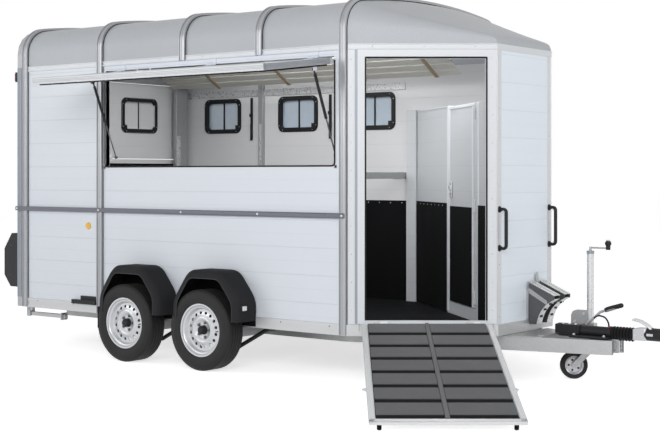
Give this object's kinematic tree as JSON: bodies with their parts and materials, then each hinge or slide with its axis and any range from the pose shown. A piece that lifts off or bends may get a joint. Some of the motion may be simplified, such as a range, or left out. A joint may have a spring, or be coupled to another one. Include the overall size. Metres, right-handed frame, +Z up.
{
  "type": "horse trailer",
  "caption": "Tandem-axle horse trailer with slanted nose, lowered front side ramp, long open side hatch, corner tack room, grey domed roof and jockey wheel.",
  "frame": {"origin": "on the ground under the middle of the whole trailer, with its side ramp down", "axes": "+X towards the coupling, +Y to the trailer's left, +Z up"},
  "size_m": [5.722, 3.6684, 2.806],
  "materials": {
    "white_panel": "white laminated panel, semi-gloss, with horizontal plank joints",
    "aluminium": "extruded aluminium, satin",
    "galvanised": "hot-dip galvanised steel, dull grey",
    "roof_polyester": "light grey moulded polyester",
    "black_rubber": "black ribbed rubber",
    "black_plastic": "black moulded plastic",
    "tyre_rubber": "black tyre rubber",
    "silver_paint": "silver paint on steel"
  },
  "bodies": {
    "trailer": {"side_wall_right": "white_panel", "side_wall_left": "white_panel", "front_wall": "white_panel", "tack_wall": "white_panel", "sill_right": "aluminium", "sill_left": "aluminium", "sill_nose": "aluminium", "doorway_frame_right": "aluminium", "tack_door_frame_left": "aluminium", "rear_frame": "aluminium", "roof_hoop_1": "aluminium", "roof_hoop_2": "aluminium", "roof_hoop_3": "aluminium", "roof_hoop_4": "aluminium", "roof_hoop_5": "aluminium", "chassis_rail_right": "galvanised", "chassis_rail_left": "galvanised", "axle_front": "galvanised", "axle_rear": "galvanised", "breast_bar": "galvanised", "brake_lever": "galvanised", "jockey_tube": "galvanised", "wheel_chocks": "galvanised", "roof_shell": "roof_polyester", "roof_nose": "roof_polyester", "floor_tray": "black_rubber", "mudguard_right": "black_plastic", "mudguard_left": "black_plastic", "side_window_1": "black_plastic", "side_window_2": "black_plastic", "side_window_3": "black_plastic", "rear_lamp_right": "black_plastic", "rear_lamp_left": "black_plastic", "coupling_housing": "black_plastic", "coupling_head": "silver_paint"},
    "wheel_front_right": {"wheel_front_right_rim": "silver_paint", "wheel_front_right_tyre": "tyre_rubber"},
    "wheel_front_left": {"wheel_front_left_rim": "silver_paint", "wheel_front_left_tyre": "tyre_rubber"},
    "wheel_rear_right": {"wheel_rear_right_rim": "silver_paint", "wheel_rear_right_tyre": "tyre_rubber"},
    "wheel_rear_left": {"wheel_rear_left_rim": "silver_paint", "wheel_rear_left_tyre": "tyre_rubber"},
    "jockey_fork": {"jockey_fork": "galvanised"},
    "jockey_wheel": {"jockey_wheel": "tyre_rubber"},
    "side_ramp": {"side_ramp": "aluminium", "side_ramp_mat": "black_rubber"},
    "hatch_flap": {"hatch_flap": "white_panel"},
    "strut_cylinder_rear": {"gas_strut_cylinder_rear": "black_plastic"},
    "strut_rod_rear": {"gas_strut_rod_rear": "silver_paint"},
    "strut_cylinder_front": {"gas_strut_cylinder_front": "black_plastic"},
    "strut_rod_front": {"gas_strut_rod_front": "silver_paint"},
    "rear_ramp": {"rear_ramp": "white_panel"},
    "rear_door_right": {"rear_door_right": "white_panel"},
    "rear_door_left": {"rear_door_left": "white_panel"},
    "tack_door": {"tack_door": "white_panel"},
    "inner_door": {"inner_door": "white_panel"},
    "prop_stand_right": {"prop_stand_right": "galvanised"},
    "prop_stand_left": {"prop_stand_left": "galvanised"}
  },
  "joints": [
    {"name": "wheel_front_right_spin", "type": "hinge", "parent": "trailer", "child": "wheel_front_right", "pos_m": [-0.341, -0.58684, 0.305], "axis": [0, -1, 0], "continuous": true},
    {"name": "wheel_front_left_spin", "type": "hinge", "parent": "trailer", "child": "wheel_front_left", "pos_m": [-0.341, 1.73116, 0.305], "axis": [0, 1, 0], "continuous": true},
    {"name": "wheel_rear_right_spin", "type": "hinge", "parent": "trailer", "child": "wheel_rear_right", "pos_m": [-1.157, -0.58684, 0.305], "axis": [0, -1, 0], "continuous": true},
    {"name": "wheel_rear_left_spin", "type": "hinge", "parent": "trailer", "child": "wheel_rear_left", "pos_m": [-1.157, 1.73116, 0.305], "axis": [0, 1, 0], "continuous": true},
    {"name": "jockey_swivel", "type": "hinge", "parent": "trailer", "child": "jockey_fork", "pos_m": [2.158, 0.78716, 0.21], "axis": [0, 0, 1], "continuous": true},
    {"name": "jockey_wheel_spin", "type": "hinge", "parent": "jockey_fork", "child": "jockey_wheel", "pos_m": [2.06216, 0.71494, 0.1], "axis": [0.6018, -0.7986, 0], "continuous": true},
    {"name": "side_ramp_hinge", "type": "hinge", "parent": "trailer", "child": "side_ramp", "pos_m": [1.36109, -0.15333, 0.43], "axis": [0.7922, 0.6102, 0], "range_deg": [-101.9, 0]},
    {"name": "hatch_flap_hinge", "type": "hinge", "parent": "trailer", "child": "hatch_flap", "pos_m": [-0.3905, -0.48184, 2.321], "axis": [-1, 0, 0], "range_deg": [-83, 0]},
    {"name": "strut_rear_swing", "type": "hinge", "parent": "hatch_flap", "child": "strut_cylinder_rear", "pos_m": [-1.523, -0.65051, 2.21767], "axis": [-1, 0, 0], "range_deg": [0, 104]},
    {"name": "strut_rear_slide", "type": "slide", "parent": "strut_cylinder_rear", "child": "strut_rod_rear", "axis": [0, 0.3851, -0.9229], "range_m": [-0.17, 0]},
    {"name": "strut_front_swing", "type": "hinge", "parent": "hatch_flap", "child": "strut_cylinder_front", "pos_m": [0.742, -0.65051, 2.21767], "axis": [-1, 0, 0], "range_deg": [0, 104]},
    {"name": "strut_front_slide", "type": "slide", "parent": "strut_cylinder_front", "child": "strut_rod_front", "axis": [0, 0.3851, -0.9229], "range_m": [-0.17, 0]},
    {"name": "rear_ramp_hinge", "type": "hinge", "parent": "trailer", "child": "rear_ramp", "pos_m": [-2.689, 0.57216, 0.431], "axis": [0, -1, 0], "range_deg": [0, 108]},
    {"name": "rear_door_right_hinge", "type": "hinge", "parent": "trailer", "child": "rear_door_right", "pos_m": [-2.689, -0.36884, 2], "axis": [0, 0, 1], "range_deg": [0, 110]},
    {"name": "rear_door_left_hinge", "type": "hinge", "parent": "trailer", "child": "rear_door_left", "pos_m": [-2.689, 1.51316, 2], "axis": [0, 0, -1], "range_deg": [0, 110]},
    {"name": "tack_door_hinge", "type": "hinge", "parent": "trailer", "child": "tack_door", "pos_m": [1.68293, 1.02451, 1.4], "axis": [0, 0, -1], "range_deg": [0, 110]},
    {"name": "inner_door_hinge", "type": "hinge", "parent": "trailer", "child": "inner_door", "pos_m": [1.37915, 0.46055, 1.2], "axis": [0, 0, 1], "range_deg": [0, 95]},
    {"name": "prop_stand_right_hinge", "type": "hinge", "parent": "trailer", "child": "prop_stand_right", "pos_m": [-2.634, -0.35984, 0.266], "axis": [0, -1, 0], "range_deg": [-32, 0]},
    {"name": "prop_stand_left_hinge", "type": "hinge", "parent": "trailer", "child": "prop_stand_left", "pos_m": [-2.634, 1.50416, 0.266], "axis": [0, -1, 0], "range_deg": [-32, 0]}
  ],
  "couplings": [
    {"joint": "strut_rear_swing", "follows": "hatch_flap_hinge", "ratio": -1.24},
    {"joint": "strut_rear_slide", "follows": "hatch_flap_hinge", "m_per_rad": 0.115},
    {"joint": "strut_front_swing", "follows": "hatch_flap_hinge", "ratio": -1.24},
    {"joint": "strut_front_slide", "follows": "hatch_flap_hinge", "m_per_rad": 0.115}
  ]
}
